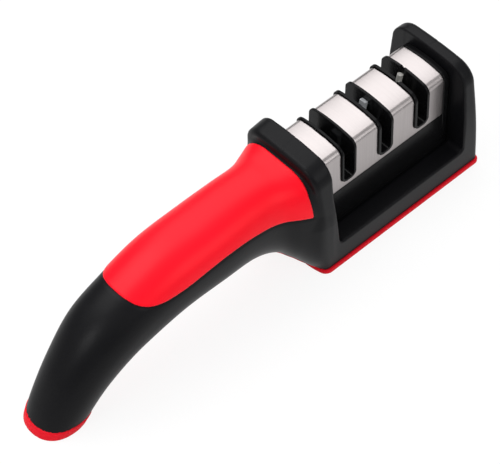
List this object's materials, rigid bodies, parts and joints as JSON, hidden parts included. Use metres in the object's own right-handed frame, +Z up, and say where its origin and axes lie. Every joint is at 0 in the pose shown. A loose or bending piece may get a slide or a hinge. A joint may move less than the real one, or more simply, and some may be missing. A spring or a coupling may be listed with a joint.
{
  "type": "knife and scissors sharpener",
  "caption": "Hand-held pull-through sharpener: an arched handle with a soft red grip flares into a cradle with end walls, and a steel-covered slotted cartridge lifts out of it.",
  "frame": {"origin": "centre of the overall box on the table plane: the middle of the length and width, at the height of the soft sole's underside", "axes": "+X from the tail of the handle to the head, +Z up from the table, so the front that faces the viewer is -Y"},
  "size_m": [0.21, 0.0444, 0.0583],
  "materials": {
    "shell_black": "fine satin texture from the mould",
    "cartridge_black": "satin",
    "grip_red": "soft-touch satin",
    "sole_red": "matte",
    "cover_steel": "brushed across the cartridge",
    "screw_steel": "zinc plated",
    "carbide": "ground",
    "rod_ceramic": "matte, fine grit"
  },
  "bodies": {
    "base": {"body_shell": "shell_black", "grip_inlay": "grip_red", "base_plate": "shell_black", "base_sole": "sole_red", "plate_screws": "screw_steel"},
    "cartridge": {"cartridge_core": "cartridge_black", "cartridge_floor": "cartridge_black", "floor_screws": "screw_steel", "steel_cover": "cover_steel", "end_cap_near": "cartridge_black", "end_cap_far": "cartridge_black", "cap_screws": "screw_steel", "scissor_insert": "cartridge_black", "coarse_insert": "cartridge_black", "fine_insert": "cartridge_black", "insert_screws": "screw_steel", "scissor_bar": "carbide", "coarse_bar_left": "carbide", "coarse_bar_right": "carbide"},
    "fine_rod_left": {"fine_rod_left": "rod_ceramic"},
    "fine_rod_right": {"fine_rod_right": "rod_ceramic"}
  },
  "joints": [
    {"name": "cartridge_lift", "type": "slide", "parent": "base", "child": "cartridge", "axis": [0, 0, 1], "range_m": [0, 0.055]},
    {"name": "rod_left_turn", "type": "hinge", "parent": "cartridge", "child": "fine_rod_left", "pos_m": [0.07818, -0.0016, 0.049], "axis": [-0.225, 0, 0.9744], "continuous": true},
    {"name": "rod_right_turn", "type": "hinge", "parent": "cartridge", "child": "fine_rod_right", "pos_m": [0.08202, 0.0016, 0.049], "axis": [0.225, 0, 0.9744], "continuous": true}
  ]
}
